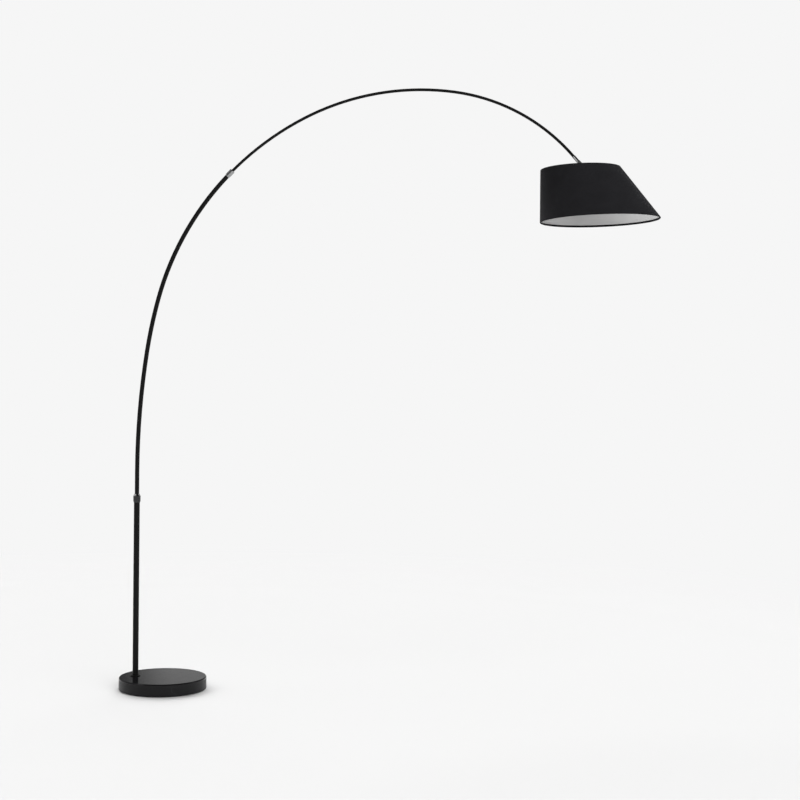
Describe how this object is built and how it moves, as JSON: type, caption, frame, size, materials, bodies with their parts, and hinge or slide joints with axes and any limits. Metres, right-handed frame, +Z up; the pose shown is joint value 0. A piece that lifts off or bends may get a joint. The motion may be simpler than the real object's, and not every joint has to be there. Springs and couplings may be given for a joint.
{
  "type": "arc floor lamp",
  "caption": "Arc floor lamp: round stone base, vertical pole, curved telescopic arm with two lock rings, and a slanted fabric shade on a tilting swivel.",
  "frame": {"origin": "centre of the foot pad's underside, on the floor", "axes": "+Z up; +X the way the arm reaches, from the pole towards the shade; the pole and the arm lie in the plane y = 0"},
  "size_m": [1.8534, 0.416, 2.0833],
  "materials": {
    "black_stone": "polished",
    "foot_felt": "matte",
    "black_rubber": "matte",
    "black_nylon": "satin",
    "black_paint": "satin",
    "zinc_steel": "satin",
    "dark_metal": "satin",
    "chrome": "polished",
    "lead_sheath": "satin",
    "core_insulation": "gloss",
    "holder_plastic": "satin",
    "steatite": "matte",
    "brass": "satin",
    "shell_metal": "satin",
    "white_wire": "gloss",
    "shade_fabric": "matte",
    "shade_lining": "satin",
    "opal_glass": "satin"
  },
  "bodies": {
    "stand": {"base_disc": "black_stone", "foot_pad": "foot_felt", "lead_grommet": "black_rubber", "lead_clamp": "black_nylon", "pole_flange": "black_paint", "pole_stud": "zinc_steel", "stud_washer": "zinc_steel", "spring_washer": "zinc_steel", "stud_nut": "zinc_steel", "pole_foot_plug": "zinc_steel", "lower_pole": "black_paint", "pole_top_socket": "black_paint", "stand_lead": "lead_sheath"},
    "lower_lock_ring": {"lower_lock_ring": "dark_metal"},
    "mast_swivel": {"lower_collet": "black_nylon"},
    "mast": {"mid_tube": "black_paint", "mast_guide_bush": "black_nylon", "mast_top_socket": "chrome", "upper_collet": "black_nylon", "mast_lead": "lead_sheath"},
    "upper_lock_ring": {"upper_lock_ring": "chrome"},
    "boom": {"upper_rod": "black_paint", "boom_guide_bush": "black_nylon", "upper_knuckle": "chrome", "trunnion_screws": "chrome", "swivel_washers": "black_nylon", "boom_lead": "lead_sheath"},
    "shade_head": {"lower_knuckle": "chrome", "nipple_nut": "zinc_steel", "holder_cap": "holder_plastic", "holder_shell": "holder_plastic", "holder_insert": "steatite", "terminal_screws": "brass", "screw_shell": "shell_metal", "centre_contact": "brass", "shade_ring": "holder_plastic", "shade_carrier": "white_wire", "bottom_hoop": "white_wire", "shade_cover": "shade_fabric", "shade_liner": "shade_lining", "top_hem": "shade_fabric", "bottom_hem": "shade_fabric", "bulb_cap": "shell_metal", "bulb_contact": "brass", "bulb_envelope": "opal_glass", "drop_lead": "lead_sheath", "lead_cores": "core_insulation"}
  },
  "joints": [
    {"name": "lower_ring_turn", "type": "hinge", "parent": "stand", "child": "lower_lock_ring", "pos_m": [-0.095, 0, 0.6595], "axis": [0, 0, 1], "range_deg": [0, 180]},
    {"name": "arm_swivel", "type": "hinge", "parent": "stand", "child": "mast_swivel", "pos_m": [-0.095, 0, 0.662], "axis": [0, 0, 1], "range_deg": [-170, 170]},
    {"name": "mast_slide", "type": "slide", "parent": "mast_swivel", "child": "mast", "axis": [0, 0, 1], "range_m": [-0.075, 0.04], "deforming": ["stand_lead"]},
    {"name": "upper_ring_turn", "type": "hinge", "parent": "mast", "child": "upper_lock_ring", "pos_m": [0.21627, 0, 1.78334], "axis": [0.6903, 0, 0.7235], "range_deg": [0, 180]},
    {"name": "boom_slide", "type": "hinge", "parent": "mast", "child": "boom", "pos_m": [0.93978, 0, 1.09302], "axis": [0, 1, 0], "range_deg": [-11.46, 2.87], "deforming": ["mast_lead"]},
    {"name": "shade_tilt", "type": "hinge", "parent": "boom", "child": "shade_head", "pos_m": [1.42387, 0, 1.82793], "axis": [0, 1, 0], "range_deg": [-35, 40], "deforming": ["drop_lead"]}
  ]
}
